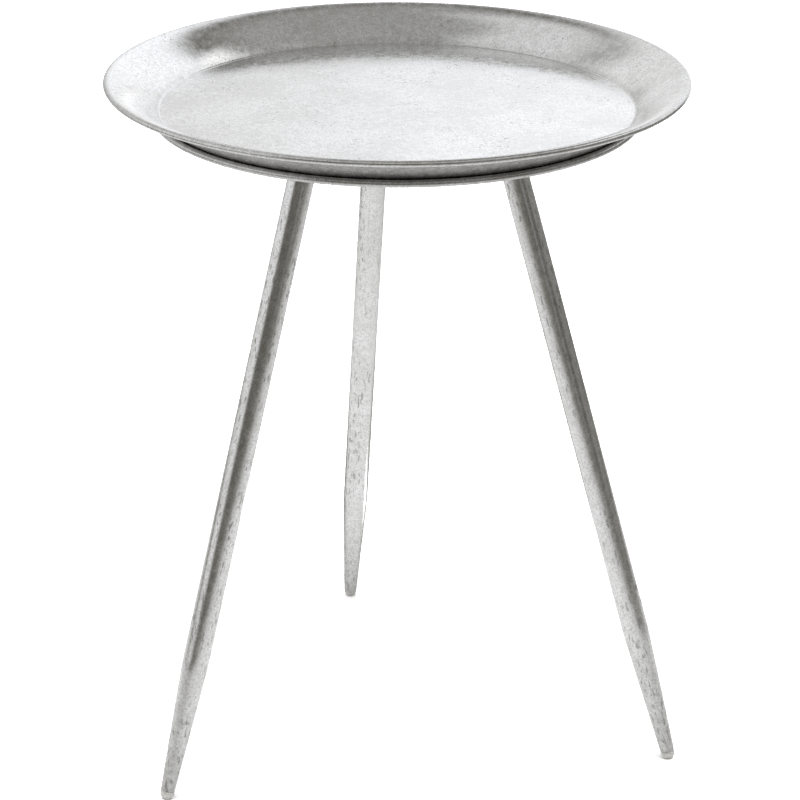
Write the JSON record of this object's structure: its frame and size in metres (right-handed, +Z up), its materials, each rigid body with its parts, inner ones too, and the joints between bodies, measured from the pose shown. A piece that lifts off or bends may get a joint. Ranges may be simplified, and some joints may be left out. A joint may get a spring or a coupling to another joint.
{
  "type": "tray table",
  "caption": "Round metal tray table: a loose flared tray rests on a round plate with splayed, screw-on tapered tube legs.",
  "frame": {"origin": "on the floor, on the table's vertical axis, in the middle of the circle of its feet", "axes": "+Z is up; the back leg leans along +Y, the other two lean to 30 degrees in front of -X and +X"},
  "size_m": [0.3799, 0.3916, 0.46],
  "materials": {
    "tray_silver": "antique silver leaf over spun sheet, semi-gloss",
    "plate_silver": "antique silver, semi-gloss",
    "leg_silver": "antique silver leaf over tube, mottled, semi-gloss",
    "bracket_silver": "antique silver over a casting, satin",
    "wire_steel": "bare drawn steel",
    "fastener_zinc": "zinc plated, satin",
    "pad_rubber": "matte",
    "glide_plastic": "satin"
  },
  "bodies": {
    "stand": {"support_plate": "plate_silver", "plate_edge_wire": "wire_steel", "bracket_screws": "fastener_zinc", "bracket_washers": "fastener_zinc", "bracket_nuts": "fastener_zinc", "leg_bracket_left": "bracket_silver", "leg_stud_left": "fastener_zinc", "leg_insert_left": "wire_steel", "leg_tube_left": "leg_silver", "foot_glide_left": "glide_plastic", "leg_bracket_right": "bracket_silver", "leg_stud_right": "fastener_zinc", "leg_insert_right": "wire_steel", "leg_tube_right": "leg_silver", "foot_glide_right": "glide_plastic", "leg_bracket_back": "bracket_silver", "leg_stud_back": "fastener_zinc", "leg_insert_back": "wire_steel", "leg_tube_back": "leg_silver", "foot_glide_back": "glide_plastic", "tray_pads": "pad_rubber"},
    "tray": {"tray_pan": "tray_silver", "tray_edge_wire": "wire_steel"}
  },
  "joints": [
    {"name": "tray_lift", "type": "slide", "parent": "stand", "child": "tray", "axis": [0, 0, 1], "range_m": [0, 0.08]}
  ]
}
